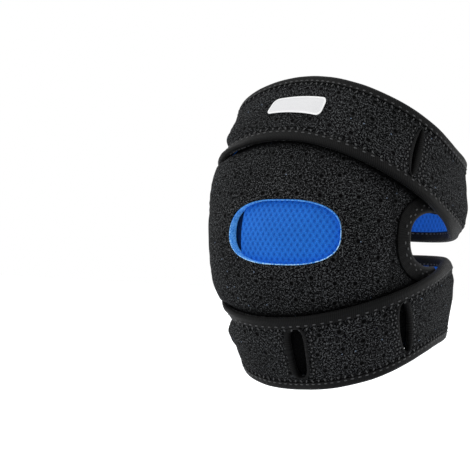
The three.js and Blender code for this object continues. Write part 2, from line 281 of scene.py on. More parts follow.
# Keeps the flat size in centimetres as the UV map, from the millimetres to one of x and of y
def scaleUv(piece, acrossArm=1, upArm=1):
    layer = piece.data.uv_layers.active
    flat = [(vertex.co.x * acrossArm / 10, vertex.co.y * upArm / 10) for vertex in piece.data.vertices]
    for loop in piece.data.loops:
        layer.data[loop.index].uv = flat[loop.vertex_index]


# Takes the pattern onto the leg
def wrap(piece, place, acrossArm=1, upArm=1):
    scaleUv(piece, acrossArm, upArm)
    for vertex in piece.data.vertices:
        vertex.co = place(*vertex.co)


def vertexValues(piece, name):
    return piece.data.attributes.new(name, "FLOAT", "POINT").data


def thicken(piece, wall, rounding=0.0):
    applyModifier(piece, "SOLIDIFY", thickness=wall * mm, offset=-1, use_even_offset=False)
    if rounding:
        applyModifier(piece, "BEVEL", width=rounding * mm, segments=2, limit_method="ANGLE",
                      angle_limit=50 * degree)


def closeSeam(piece):
    editAll(piece, bpy.ops.mesh.remove_doubles, threshold=0.00001)


def finishPiece(piece, material, slotName, *nodes):
    selectOnly(piece)
    bpy.ops.object.shade_smooth_by_angle(angle=50 * degree)
    piece.data.materials.clear()
    piece.data.materials.append(material)
    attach(piece, "root")
    if nodes:
        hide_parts(*nodes)
    return piece


# Soft unevenness of cloth, in millimetres, at a place on it
def waver(x, y, size, seed):
    return noise.noise(Vector((x / size, y / size, seed)))


def shaderOf(material):
    return material.node_tree.nodes["Principled BSDF"]


def newMaterial(name, **settings):
    material = bpy.data.materials.new(name)
    material.use_nodes = True
    for socket, value in settings.items():
        shaderOf(material).inputs[socket.replace("_", " ")].default_value = value
    return material, material.node_tree


def setSocket(tree, socket, value):
    if isinstance(value, bpy.types.NodeSocket):
        tree.links.new(value, socket)
    elif socket.type == "RGBA":
        socket.default_value = (*value, 1)
    else:
        socket.default_value = value


def addNode(tree, kind, settings=None, **inputs):
    node = tree.nodes.new(kind)
    for name, value in (settings or {}).items():
        setattr(node, name, value)
    for name, value in inputs.items():
        setSocket(tree, node.inputs[name.replace("_", " ")], value)
    return node


def coordinates(tree, kind):
    return addNode(tree, "ShaderNodeTexCoord").outputs[kind]


def vertexValue(tree, name):
    return addNode(tree, "ShaderNodeAttribute", {"attribute_name": name}).outputs["Fac"]


def noiseAt(tree, place, scale, detail, **more):
    return addNode(tree, "ShaderNodeTexNoise", Vector=place, Scale=scale, Detail=detail,
                   **more).outputs["Fac"]


def cellsAt(tree, place, scale, randomness):
    return addNode(tree, "ShaderNodeTexVoronoi", {"feature": "F1", "voronoi_dimensions": "2D"},
                   Vector=place, Scale=scale, Randomness=randomness)


def bandsAt(tree, place, direction, scale, **more):
    return addNode(tree, "ShaderNodeTexWave", {"wave_type": "BANDS", "bands_direction": direction},
                   Vector=place, Scale=scale, **more).outputs["Fac"]


def ramp(tree, factor, *stops):
    node = addNode(tree, "ShaderNodeValToRGB", Fac=factor)
    elements = node.color_ramp.elements
    while len(elements) < len(stops):
        elements.new(0.5)
    for element, (position, color) in zip(elements, stops):
        element.position = position
        element.color = (*color, 1)
    return node.outputs["Color"]


def grey(value, blue=1.04):
    return (value, value * (1 + blue) / 2, value * blue)


def mixColor(tree, blend, factor, a, b):
    node = addNode(tree, "ShaderNodeMix", {"data_type": "RGBA", "blend_type": blend})
    for index, value in ((0, factor), (6, a), (7, b)):
        setSocket(tree, node.inputs[index], value)
    return node.outputs[2]


# Shades a colour by a pattern, from one grey to another
def shadeBy(tree, color, share, pattern, low, high):
    greys = ramp(tree, pattern, (low[0], grey(low[1])), (high[0], grey(high[1])))
    return mixColor(tree, "MULTIPLY", share, color, greys)


def maths(tree, operation, a, b):
    node = addNode(tree, "ShaderNodeMath", {"operation": operation})
    setSocket(tree, node.inputs[0], a)
    setSocket(tree, node.inputs[1], b)
    return node.outputs[0]


def times(tree, a, b):
    return maths(tree, "MULTIPLY", a, b)


def weighted(tree, a, aShare, b, bShare):
    return maths(tree, "ADD", times(tree, a, aShare), times(tree, b, bShare))


# Painted glow: some of a cloth's own colour given off as light, to brighten it
def paintedGlow(material, color, strength):
    shader = shaderOf(material)
    material.node_tree.links.new(color, shader.inputs["Emission Color"])
    shader.inputs["Emission Strength"].default_value = strength


# Gives the material its colour and its relief: height, strength and distance in millimetres of each
def dress(material, color, *layers):
    tree, shader = material.node_tree, shaderOf(material)
    tree.links.new(color, shader.inputs["Base Color"])
    normal = None
    for height, strength, distance in layers:
        node = addNode(tree, "ShaderNodeBump", Height=height, Strength=strength, Distance=distance * mm)
        if normal is not None:
            tree.links.new(normal, node.inputs["Normal"])
        normal = node.outputs["Normal"]
    tree.links.new(normal, shader.inputs["Normal"])
    return material


# Black brushed loop cloth: short fuzz, mottled, with fine punched holes, a little lint and painted shade
# where it is marked
loopCloth = {
    "dark": 0.0003,
    "mid": 0.0040,
    "light": 0.13,
    "fuzzScale": 16,        # per centimetre of cloth
    "mottleScale": 8.0,
    "toneScale": 0.5,
    "holeScale": 0.95,
    "holeSize": 0.100,
    "lintScale": 3.1,
}


def makeLoopCloth(name):
    material, tree = newMaterial(name, Roughness=0.92, Sheen_Weight=0.015, Sheen_Roughness=0.35,
                                 Sheen_Tint=(0.75, 0.78, 0.84, 1), Specular_IOR_Level=0.04)
    flat = coordinates(tree, "UV")
    fuzz = noiseAt(tree, flat, loopCloth["fuzzScale"], 4.0, Roughness=0.65)
    mottle = noiseAt(tree, flat, loopCloth["mottleScale"], 3.0, Roughness=0.6)
    tone = noiseAt(tree, flat, loopCloth["toneScale"], 2.0)
    loops = cellsAt(tree, flat, loopCloth["fuzzScale"] * 0.9, 1.0).outputs["Distance"]
    speck = weighted(tree, fuzz, 0.62, mottle, 0.38)
    color = ramp(tree, speck, (0.44, grey(loopCloth["dark"])), (0.51, grey(loopCloth["mid"])),
                 (0.61, grey(loopCloth["light"])))
    color = shadeBy(tree, color, 0.55, tone, (0.3, 0.62), (0.7, 1.25))
    color = shadeBy(tree, color, 0.5, loops, (0.0, 1.0), (0.75, 0.45))
    height = weighted(tree, fuzz, 0.7, mottle, 0.6)
    height = maths(tree, "SUBTRACT", height, times(tree, loops, 0.4))
    spot = cellsAt(tree, flat, loopCloth["holeScale"], 0.3).outputs["Distance"]
    dentSize = loopCloth["holeSize"] * 1.7
    rim = times(tree, maths(tree, "LESS_THAN", spot, dentSize), 0.30)
    hole = times(tree, maths(tree, "LESS_THAN", spot, loopCloth["holeSize"]), 0.95)
    color = mixColor(tree, "MIX", rim, color, grey(0.035))
    color = mixColor(tree, "MIX", hole, color, grey(0.0004))
    dent = ramp(tree, spot, (0.0, grey(0.0)), (dentSize, grey(1.0)))
    lint = cellsAt(tree, flat, loopCloth["lintScale"], 1.0)
    draw = addNode(tree, "ShaderNodeSeparateColor", Color=lint.outputs["Color"]).outputs["Red"]
    few = maths(tree, "GREATER_THAN", draw, 0.975)
    fleck = times(tree, few, maths(tree, "LESS_THAN", lint.outputs["Distance"], 0.10))
    color = mixColor(tree, "MIX", times(tree, fleck, 0.8), color, (0.20, 0.26, 0.36))
    # Painted shade: the cloth darkened towards black by its painted shade values
    color = mixColor(tree, "MIX", times(tree, vertexValue(tree, "painted_shade"), 0.93), color, grey(0.0004))
    return dress(material, color, (height, 0.9, 0.55), (dent, 0.8, 0.8))


# Woven binding tape: fine ribs across it
tapeCloth = {"ribs": 7.4, "dark": 0.0006, "light": 0.0085}


def makeTape(name):
    material, tree = newMaterial(name, Roughness=0.6, Sheen_Weight=0.02, Sheen_Roughness=0.3,
                                 Specular_IOR_Level=0.10)
    flat = coordinates(tree, "UV")
    rib = bandsAt(tree, flat, "X", tapeCloth["ribs"] / 2, Distortion=0.35, Detail=1.0, Detail_Scale=4.0)
    weft = bandsAt(tree, flat, "Y", tapeCloth["ribs"] * 0.8, Distortion=0.3)
    grain = noiseAt(tree, flat, 11.0, 3.0)
    tone = noiseAt(tree, flat, 0.7, 1.0)
    weave = maths(tree, "ADD", weighted(tree, rib, 0.6, weft, 0.25), times(tree, grain, 0.3))
    color = ramp(tree, weave, (0.25, grey(tapeCloth["dark"])), (0.95, grey(tapeCloth["light"])))
    color = shadeBy(tree, color, 0.5, tone, (0.3, 0.7), (0.7, 1.2))
    # Painted shade: the tape darkened towards black by its painted shade values
    color = mixColor(tree, "MIX", vertexValue(tree, "painted_shade"), color, grey(0.0004))
    return dress(material, color, (weave, 0.7, 0.22))


# Blue spacer mesh: small dimples in staggered rows, in centimetres
meshCloth = {
    "pitch": 0.32,
    "rowShare": 0.67,
    "valley": (0.0058, 0.083, 0.40),
    "face": (0.0095, 0.120, 0.52),
    "crest": (0.0150, 0.160, 0.62),
    "crest": (0.0150, 0.160, 0.62),
    # painted shade: the near black blue that shaded mesh and cut edge are darkened to
    "painted_shade": (0.0004, 0.003, 0.016),
    "paintedGlow": 0.12,
}

def makeMesh(name):
    material, tree = newMaterial(name, Roughness=0.6, Sheen_Weight=0.02, Sheen_Roughness=0.4,
                                 Specular_IOR_Level=0.12)
    flat = coordinates(tree, "UV")
    turned = addNode(tree, "ShaderNodeMapping", Vector=flat)
    turned.inputs["Rotation"].default_value = (0, 0, 45 * degree)
    turned.inputs["Scale"].default_value = (1.0, meshCloth["rowShare"], 1.0)
    cell = cellsAt(tree, turned.outputs["Vector"], math.sqrt(2) / meshCloth["pitch"], 0.0)
    cell = cell.outputs["Distance"]
    yarn = noiseAt(tree, flat, 22.0, 3.0)
    tone = noiseAt(tree, flat, 0.6, 2.0)
    color = ramp(tree, cell, (0.08, meshCloth["valley"]), (0.30, meshCloth["face"]),
                 (0.60, meshCloth["crest"]))
    color = shadeBy(tree, color, 0.7, yarn, (0.35, 0.55), (0.65, 1.25))
    color = shadeBy(tree, color, 0.4, tone, (0.3, 0.82), (0.7, 1.12))
    # Painted shade: the mesh darkened to its shade colour by its painted shade values
    color = mixColor(tree, "MIX", vertexValue(tree, "painted_shade"), color, meshCloth["painted_shade"])
    # Painted glow: the blue mesh gives off some of its own colour as light
    paintedGlow(material, color, meshCloth["paintedGlow"])
    return dress(material, color, (cell, 0.5, 0.35), (yarn, 0.4, 0.15))


def makeCutEdge(name):
    material, tree = newMaterial(name, Roughness=0.6, Specular_IOR_Level=0.15)
    place = coordinates(tree, "Object")
    pores = noiseAt(tree, place, 1300.0, 3.0)
    tone = noiseAt(tree, place, 180.0, 2.0)
    color = ramp(tree, pores, (0.35, (0.03, 0.21, 0.66)), (0.62, (0.14, 0.46, 0.95)))
    color = shadeBy(tree, color, 0.5, tone, (0.3, 0.8), (0.7, 1.1))
    # Pale fibres and painted highlight on the lip, as strong as its frayed and lit values
    fibres = ramp(tree, pores, (0.44, grey(0.0)), (0.56, grey(1.0)))
    fibres = times(tree, vertexValue(tree, "frayed_and_lit"), fibres)
    color = mixColor(tree, "MIX", fibres, color, (0.55, 0.80, 1.0))
    # Painted shade: the cut edge darkened to the shade colour by its painted shade values
    color = mixColor(tree, "MIX", vertexValue(tree, "painted_shade"), color, meshCloth["painted_shade"])
    # Painted glow: the cut edge gives off some of its own colour as light
    paintedGlow(material, color, 0.15)
    return dress(material, color, (pores, 0.5, 0.12))


def makeThread(name, value):
    material, tree = newMaterial(name, Roughness=0.5, Specular_IOR_Level=0.15)
    ply = bandsAt(tree, coordinates(tree, "Object"), "DIAGONAL", 900.0, Distortion=1.0)
    color = ramp(tree, ply, (0.0, grey(value * 0.5)), (1.0, grey(value * 1.5)))
    return dress(material, color, (ply, 0.6, 0.15))


def makeHookTape(name):
    material, tree = newMaterial(name, Roughness=0.5, Specular_IOR_Level=0.15)
    hooks = cellsAt(tree, coordinates(tree, "UV"), 9.0, 0.15).outputs["Distance"]
    color = ramp(tree, hooks, (0.1, grey(0.05)), (0.6, grey(0.006)))
    return dress(material, color, (hooks, -0.9, 0.7))


def makeLabelCloth(name):
    # Painted glow: the label gives off a little white light, to look brighter
    material, tree = newMaterial(name, Roughness=0.5, Specular_IOR_Level=0.2,
                                 Emission_Color=(1, 1, 1, 1), Emission_Strength=0.03)
    flat = coordinates(tree, "UV")
    weave = times(tree, bandsAt(tree, flat, "X", 13.0), bandsAt(tree, flat, "Y", 13.0))
    inner = ramp(tree, weave, (0.0, (0.74, 0.74, 0.75)), (1.0, (0.90, 0.90, 0.91)))
    color = mixColor(tree, "MIX", vertexValue(tree, "border"), inner, (0.99, 0.99, 0.99))
    return dress(material, color, (weave, 0.35, 0.1))


blackLoop = makeLoopCloth("black_loop_cloth")
tapeMaterial = makeTape("woven_tape")
blueMesh = makeMesh("blue_mesh")
cutEdge = makeCutEdge("cut_edge")
threadMaterial = makeThread("black_thread", 0.075)
hookMaterial = makeHookTape("hook_tape")
labelMaterial = makeLabelCloth("label_cloth")
print("materials ready")


# How the straps' cloth wavers, in millimetres: slow waves, small ones and the pull of the seams
drape = {
    "wave": 0.55,
    "waveSize": 24,
    "ripple": 0.22,
    "rippleSize": 9,
    "pucker": 0.30,
    "puckerPitch": 4.3,
    "share": 0.8,
}


def strapLevel(travel):
    climb = 2 * math.pi - strapPath["start"] - strapPath["riseFrom"]
    climbed = 2 * math.pi - strapPath["start"] - strapPath["riseTo"]
    share = smooth(travel, climb, climbed)
    return -panelWall * (1 - share) + cloth["strapLift"] * share


# x runs from the outer end to the start, so that the outer face looks outwards
def travelOf(x):
    return travelEnd * (1 - x) / 2


def puckerWave(arc):
    return math.cos(arc / drape["puckerPitch"] * 2 * math.pi)


def strapPlace(strap, travel, height, out):
    around = -strapPath["start"] - travel
    onFront = smooth(math.cos(around), -0.2, 0.8) * smooth(travel, 1.4, 2.6)
    half = strap["width"] / 2
    flare = strap["flareTop"] if height > 0 else strap["flareBottom"]
    lift = flare * onFront * abs(height / half) ** 2.2
    arc = travel * strapArm
    wave = drape["wave"] * waver(arc, height * 0.6, drape["waveSize"], half)
    wave += drape["ripple"] * waver(arc, height, drape["rippleSize"], 3 + half)
    pucker = drape["pucker"] * puckerWave(arc) * bell(abs(height) - half, -7.2, 1.8)
    calm = smooth(travel, 0, 0.5) * (1 - 0.6 * smooth(travel, 2 * math.pi, 2 * math.pi + 0.15))
    beside = nearTuck(fromFront(around)) * smooth(travel, 3.4, 4.4)
    calm *= 1 - 0.6 * beside
    lift -= strapPath["sink"] * beside * smooth(strap["inner"] * height, half - 12, half - 2)
    lift += (wave + pucker) * max(0, calm) * drape["share"]
    along = strapLine(strap, around) + strapRecess(strap, around, height) / armAlong(around)
    return legPoint(around, along, strapLevel(travel) + out + lift)


def strapFront(strap, around, height, out):
    return strapPlace(strap, 2 * math.pi - strapPath["start"] - around, height, out)


def wrapStrap(piece, strap):
    wrap(piece, lambda travel, height, out: strapPlace(strap, travel, height, out), -strapArm)


# Slits by their place round the leg, their height over the strap's middle and the rows of stitches
# beside them
slits = {
    "upper_slit": {
        "strap": upper, "around": 57.0 * degree, "height": -0.9, "length": 26.5, "width": 1.8,
        "lean": 5.1 * degree, "power": 1.6, "lift": 0.3, "seams": (-4.6, 4.4, 6.8),
    },
    "lower_slit_front": {
        "strap": lower, "around": 5.9 * degree, "height": 1.3, "length": 26.8, "width": 9.2,
        "lean": 3.2 * degree, "power": 3.2, "lift": 0.35, "seams": (-10.0, 9.6),
    },
    "lower_slit_side": {
        "strap": lower, "around": 57.4 * degree, "height": 0.6, "length": 27.6, "width": 6.6,
        "lean": -6.2 * degree, "power": 2.2, "lift": 0.1, "seams": (-8.6, -6.4, 6.8),
    },
}
slitShape = {"rim": 1.5, "tip": 0.4, "lip": 2.2}


def slitTravel(slit, x, y):
    around = slit["around"] + slit["lean"] * y / slit["length"] + x / frontArm
    return 2 * math.pi - strapPath["start"] - around


def slitHalf(slit, grow):
    return slit["width"] / 2 + grow, slit["length"] / 2 + grow * slitShape["tip"]


# Place of a point of the strap's pattern in the slit's own x and y
def slitLocal(slit, co):
    y = co.y - slit["height"]
    around = 2 * math.pi - strapPath["start"] - co.x
    return (around - slit["around"] - slit["lean"] * y / slit["length"]) * frontArm, y


def cutSlits(piece, strap, grow):
    for slit in slits.values():
        if slit["strap"] is strap:
            trim(piece, *slitHalf(slit, grow), slit["power"], lambda co: slitLocal(slit, co),
                 lambda x, y: (slitTravel(slit, x, y), slit["height"] + y))


def gridCount(length):
    return max(4, round(length / cloth["grain"]))


def buildStrapCloth(strap):
    half = strap["width"] / 2
    inset = cloth["tape"] + cloth["gap"]
    tapeEdge = half - cloth["tapeWidth"]
    piece = flatGrid(strap["name"] + "_cloth", gridCount(travelEnd * strapArm), gridCount(strap["width"]))
    endRound = 7

    def pattern(x, y):
        height = y * (half - inset)
        travel = travelOf(x)
        past = (travelEnd - travel) * strapArm
        if past < endRound:
            height *= 1 - 0.10 * (1 - past / endRound) ** 2
        press = smooth(abs(height), tapeEdge - 1.0, tapeEdge + 0.3)
        seam = 0.35 * bell(abs(height) - tapeEdge, -1.6, 0.9)
        return Vector((travel, height, strapWall - press * cloth["tape"] - seam))

    lay(piece, pattern)
    cutSlits(piece, strap, slitShape["rim"] + cloth["gap"])
    # Painted shade: dark lines along the pressed seam beside each tape and along the stitch rows beside the
    # slits
    painted_shade = vertexValues(piece, "painted_shade")
    for vertex in piece.data.vertices:
        dark = 0.6 * bell(abs(vertex.co.y) - tapeEdge, -1.0, 1.1)
        for slit in slits.values():
            if slit["strap"] is strap:
                x, y = slitLocal(slit, vertex.co)
                for seam in slit["seams"]:
                    dark = max(dark, 0.7 * bell(x, seam, 1.2) * (abs(y) < slit["length"] * 0.5))
        painted_shade[vertex.index].value = dark
    wrapStrap(piece, strap)
    thicken(piece, cloth["shell"], 0.5)
    return finishPiece(piece, blackLoop, "loop_cloth", strap["name"])


def buildStrapLining(strap):
    flat = strap["width"] / 2 - cloth["tapeWidth"] - 0.1
    piece = flatGrid(strap["name"] + "_lining_mesh", gridCount(travelEnd * strapArm),
                     gridCount(strap["width"]) // 2)
    stop = travelEnd - strapPath["hook"] - degree
    lay(piece, lambda x, y: Vector((stop * (1 - x) / 2, y * flat, cloth["mesh"])))
    cutSlits(piece, strap, slitShape["lip"] + 0.9)
    wrapStrap(piece, strap)
    thicken(piece, cloth["mesh"], 0.25)
    return finishPiece(piece, blueMesh, "blue_mesh", strap["name"] + "_lining")


# Section of a folded tape: share from the inner edge round the fold to the outer edge
def foldSection(share, width, low, high):
    radius = (high - low) / 2
    flat = width - radius
    turnLength = math.pi * radius
    run = share * (2 * flat + turnLength)
    if run < flat:
        return width - run, low
    if run > flat + turnLength:
        return radius + run - flat - turnLength, high
    turn = (run - flat) / radius
    return radius - radius * math.sin(turn), (low + high) / 2 - radius * math.cos(turn)


def buildStrapTape(strap, edge):
    side = 1 if edge == "top" else -1
    half = strap["width"] / 2
    high = strapWall + cloth["gap"]
    sectionLength = 2 * cloth["tapeWidth"] + 3
    piece = flatGrid(f"{strap['name']}_{edge}_tape", gridCount(travelEnd * strapArm) * 5 // 4, 26)
    lay(piece, lambda x, y: Vector((travelOf(x), (1 + y) / 2, 0)))

    def place(travel, share, _):
        inset, out = foldSection(1 - share if side > 0 else share, cloth["tapeWidth"], 0, high)
        edgeWave = 0.12 * puckerWave(travel * strapArm) * smooth(inset, 2, cloth["tapeWidth"])
        return strapPlace(strap, travel, side * (half - inset), out - edgeWave)

    wrap(piece, place, -strapArm, sectionLength)
    thicken(piece, cloth["tape"], 0.2)
    return finishPiece(piece, tapeMaterial, "woven_tape", f"{strap['name']}_{edge}_binding")


def buildSlitTape(name, slit, node):
    piece = flatGrid(name, 72, 20)

    def place(x, y, _):
        grow, out = foldSection((1 + y) / 2, slitShape["lip"] + 0.6, 0.1, strapWall + slit["lift"])
        x, y = oval(math.pi * (1 - x), *slitHalf(slit, grow), slit["power"] + 0.1)
        return strapPlace(slit["strap"], slitTravel(slit, x, y), slit["height"] + y, out)

    wrap(piece, place, 31, 5)
    closeSeam(piece)
    thicken(piece, 0.7)
    return finishPiece(piece, tapeMaterial, "woven_tape", node)


def buildHookTab(strap):
    half = strapPath["hookWidth"] / 2
    piece = flatGrid(strap["name"] + "_hook_tape", 30, 20)
    first = travelEnd - strapPath["hook"]
    last = travelEnd - degree
    lay(piece, lambda x, y: Vector((first + (last - first) * (1 - x) / 2, y * half, cloth["mesh"])))
    wrapStrap(piece, strap)
    thicken(piece, cloth["mesh"], 0.2)
    upperOrLower = strap["name"].split("_")[0]
    return finishPiece(piece, hookMaterial, "hook_tape", upperOrLower + "_hook_tab")


strapPieces = {}
for strap in (upper, lower):
    clothPiece = buildStrapCloth(strap)
    liningPiece = buildStrapLining(strap)
    tapes = [buildStrapTape(strap, "top"), buildStrapTape(strap, "bottom")]
    tab = buildHookTab(strap)
    strapPieces[strap["name"]] = (clothPiece, liningPiece, tapes, tab)
    print(strap["name"], "laid")
buildSlitTape("upper_slit_tape", slits["upper_slit"], "upper_slit_binding")
buildSlitTape("lower_slit_tape_front", slits["lower_slit_front"], "lower_slit_binding_front")
buildSlitTape("lower_slit_tape_side", slits["lower_slit_side"], "lower_slit_binding_side")


panel = {
    "wingEnd": 90 * degree,
    "right": 58.4 * degree,
    "left": 64 * degree,
    "notchMiddle": 0.8 * degree,
    "notchHeight": 25.5,
    "notchPower": 2.6,
    "wingReach": 14.0,
    "tapeWidth": 7.4,
    "crease": 0.9,                      # where the thick foam over the knee ends, beside the notch
    "creaseAt": 48.6,                   # in degrees from the front
    "wave": 0.35,
    "ripple": 0.12,
}
opening = {
    "width": 60,
    "height": 31,
    "power": 2.7,
    "around": 4.2 * degree,
    "along": 0.95 * degree,
    "rim": 1.0,
}
alongArm = leg["bendRadius"] + frontArm


def notchPlace(side, turn, inset):
    depth = (panel["wingEnd"] - panel[side]) * sideArm
    x, y = oval(turn, depth + inset, panel["notchHeight"] / 2 + inset, panel["notchPower"])
    return (panel["wingEnd"] - abs(x) / sideArm, panel["notchMiddle"] + y / armAlong(panel["wingEnd"]))


# How far inside the panel a place lies from the edge of the notch on its side
def notchInset(around, along):
    side = "left" if around < 0 else "right"
    depth = (panel["wingEnd"] - panel[side]) * sideArm
    x = max(0.01, (panel["wingEnd"] - abs(around)) * sideArm)
    y = abs(along - panel["notchMiddle"]) * armAlong(panel["wingEnd"])
    low, high = 0.0, 60.0
    for _ in range(12):
        middle = (low + high) / 2
        power = panel["notchPower"]
        reach = (x / (depth + middle)) ** power + (y / (panel["notchHeight"] / 2 + middle)) ** power
        if reach > 1:
            low = middle
        else:
            high = middle
    return low


def panelPattern(x, y):
    share = max(0, (abs(y) - 0.45) / 0.55)
    turn = 90 * degree * min(1, abs(y) / 0.45) * (1 if y > 0 else -1)
    edgeAround, edgeAlong = notchPlace("left" if x < 0 else "right", turn, 0)
    around = x * edgeAround
    reach = math.copysign(panel["wingReach"], y) / armAlong(around)
    border = strapLine(nearestStrap(y), around) + reach
    return around, edgeAlong + (border - edgeAlong) * share


def openingLocal(co):
    return (co.x - opening["around"]) * frontArm, (co.y - opening["along"]) * alongArm


def openingPlace(x, y):
    return opening["around"] + x / frontArm, opening["along"] + y / alongArm


def openingTrim(piece, grow, keepInside=False):
    trim(piece, opening["width"] / 2 + grow, opening["height"] / 2 + grow, opening["power"],
         openingLocal, openingPlace, keepInside)


def panelWave(around, along):
    x, y = around * frontArm, along * alongArm
    return panel["wave"] * waver(x, y, 22, 11) + panel["ripple"] * waver(x, y, 8, 5)


# 1 over the knee, and 0 from the given height in degrees on, above and below it
def onKnee(along, full, gone):
    return 1 - smooth(abs(along - panel["notchMiddle"]), full * degree, gone * degree)


def buildPanelSheet(name, out, wall, material, slotName, node, fine):
    piece = flatGrid(name, round(150 * fine), round(118 * fine))
    outside = out == 0

    def pattern(x, y):
        around, along = panelPattern(x, y)
        level = out
        if outside:
            inset = notchInset(around, along)
            clear = smooth(inset, panel["tapeWidth"] - 0.6, panel["tapeWidth"] + 0.8)
            level -= (cloth["tape"] + 0.25) * (1 - clear)
            level += panelWave(around, along) * smooth(inset, 5, 14)
            fold = smooth(around / degree, panel["creaseAt"] - 2.1, panel["creaseAt"] + 0.9)
            level -= panel["crease"] * fold * onKnee(along, 5, 8)
        return Vector((around, along, level))

    lay(piece, pattern)
    openingTrim(piece, 0.55)
    # Painted shade: on the outer cloth, dark along the crease beside the notch and from just outside the
    # straps' inner edges in under them; none on the lining
    painted_shade = vertexValues(piece, "painted_shade")
    if outside:
        for vertex in piece.data.vertices:
            around, along = vertex.co.x, vertex.co.y
            fold = 0.55 * bell(around / degree, panel["creaseAt"], 1.2) * onKnee(along, 5, 9)
            painted_shade[vertex.index].value = max(fold, smooth(underStrap(around, along), -3.0, 1.0))
    wrap(piece, legPoint, frontArm, alongArm)
    thicken(piece, wall, 0.4)
    return finishPiece(piece, material, slotName, node)


panelCloth = buildPanelSheet("body_panel_cloth", 0, cloth["shell"], blackLoop,
                             "loop_cloth", "body_panel", 1)
panelLining = buildPanelSheet("body_lining_mesh", -cloth["foam"] - cloth["gap"], cloth["mesh"], blueMesh,
                              "blue_mesh", "body_lining", 0.8)
print("panel laid")


def buildNotchTape(side):
    mirror = -1 if side == "left" else 1
    piece = flatGrid(f"side_tape_{side}", 110, 24)
    scaleUv(piece, 42, 8.5)
    painted_shade = vertexValues(piece, "painted_shade")
    for vertex in piece.data.vertices:
        inset, out = foldSection((1 + vertex.co.y * mirror) / 2, panel["tapeWidth"], -panelWall, 0.05)
        around, along = notchPlace(side, vertex.co.x * 90 * degree, inset)
        ripple = 0.12 * math.cos(vertex.co.x * 60) * smooth(inset, 2, 5)
        # Painted shade: the tape darkened away from its rolled edge, which stays lighter
        painted_shade[vertex.index].value = 0.55 * smooth(inset, 0.5, 2.5)
        vertex.co = legPoint(mirror * around, along, out - ripple)
    thicken(piece, cloth["tape"], 0.2)
    return finishPiece(piece, tapeMaterial, "woven_tape", f"side_binding_{side}")


sideTapes = [buildNotchTape("right"), buildNotchTape("left")]


# The rim's section from its outer lip to the leg side: how far it lies outside the opening, and out
rimSection = [(0.60, -0.55), (0.50, -0.15), (0.34, 0.05), (0.14, 0.02), (0.0, -0.25), (0.0, -1.2),
              (0.05, -2.6), (0.0, -4.0), (0.1, -panelWall)]


# The light blue edge of the opening: a thin lip, with pale fibres and painted highlight below, that turns
# into the foam's wall
def buildOpeningRim():
    piece = flatGrid("opening_rim_edge", 200, 14)
    last = len(rimSection) - 1
    scaleUv(piece, 80, 3)
    for name in ("frayed_and_lit", "painted_shade"):
        vertexValues(piece, name)
    frayed_and_lit, painted_shade = (piece.data.attributes[name].data for name in ("frayed_and_lit", "painted_shade"))
    for vertex in piece.data.vertices:
        run = (1 - vertex.co.y) / 2 * last
        index = min(last - 1, int(run))
        share = run - index
        grow = rimSection[index][0] * (1 - share) + rimSection[index + 1][0] * share
        out = rimSection[index][1] * (1 - share) + rimSection[index + 1][1] * share
        turn = math.pi * vertex.co.x
        above = smooth(math.sin(turn), -0.1, 0.5)
        lip = 1 - smooth(run, 2.5, 4.5)
        out -= 1.3 * above * lip
        grow += 0.10 * waver(turn * 14, run, 1, 4) * lip
        # Pale fibres with painted highlight on the lip: full below and on the right, faint on top
        frayed_and_lit[vertex.index].value = lip * (0.8 - 0.6 * above)
        # Painted shade: the deep part of the foam's wall darkened
        painted_shade[vertex.index].value = smooth(run, 6.6, 8)
        x, y = oval(turn, opening["width"] / 2 + grow, opening["height"] / 2 + grow, opening["power"])
        vertex.co = legPoint(*openingPlace(x, y), out)
    closeSeam(piece)
    editAll(piece, bpy.ops.mesh.normals_make_consistent, inside=False)
    thicken(piece, 0.4)
    return finishPiece(piece, cutEdge, "cut_edge", "opening_rim")


buildOpeningRim()

kneePad = {
    "margin": 5.5,
    "wall": 3.0,
    "drop": 0.8,
    "rise": 2.3,                        # of its face over its border
    "leftEnd": 26.3,                    # where its face rolls down on the left
    "dimple": 0.30,
    "sag": 0.25,
    # dark: painted shadow in the gap at the pad's left
    "dark": 0.92,                       # of the gap at its left
}


# Depth of the mesh's dimples, in the same staggered rows as the cloth's
def dimpleAt(x, y):
    pitch = meshCloth["pitch"] * 10
    rowHeight = pitch / 2 / meshCloth["rowShare"]
    row = round(y / rowHeight)
    best = pitch
    for near in (row - 1, row, row + 1):
        shift = pitch / 2 if near % 2 else 0
        column = round((x - shift) / pitch)
        rise = (y - near * rowHeight) * meshCloth["rowShare"]
        best = min(best, math.hypot(x - shift - column * pitch, rise))
    return kneePad["dimple"] * (1 - smooth(best, 0.15, 0.8))


def buildKneePad():
    piece = flatGrid("knee_pad_mesh", 230, 136)
    halfX = opening["width"] / 2 + kneePad["margin"]
    halfY = opening["height"] / 2 + kneePad["margin"]
    power = opening["power"]
    top = -panelWall - kneePad["drop"]
    end = -kneePad["leftEnd"]
    lay(piece, lambda x, y: Vector((*openingPlace(x * 1.02 * halfX, y * 1.02 * halfY), top)))
    openingTrim(piece, kneePad["margin"], keepInside=True)
    painted_shade = vertexValues(piece, "painted_shade")
    for vertex in piece.data.vertices:
        x, y = openingLocal(vertex.co)
        # Painted shadow: the pad darkened at its left border, in the gap beside the rim
        painted_shade[vertex.index].value = kneePad["dark"] * (1 - smooth(x, end - 0.8, end + 1.0))
        dimple = dimpleAt(vertex.co.x * frontArm, vertex.co.y * alongArm)
        share = (abs(x / halfX) ** power + abs(y / halfY) ** power) ** (1 / power)
        inside = 1 - smooth(share, 0.86, 0.99)
        rolled = smooth(x, end - 1.5, end + 2.2)
        face = kneePad["rise"] * inside * rolled * (0.8 + 0.2 * (1 - share * share))
        sag = kneePad["sag"] * waver(x, y, 16, 2)
        vertex.co.z = top + face + sag * inside - dimple * inside
    wrap(piece, legPoint, frontArm, alongArm)
    thicken(piece, kneePad["wall"] - 0.8)
    return finishPiece(piece, blueMesh, "blue_mesh", "knee_pad")


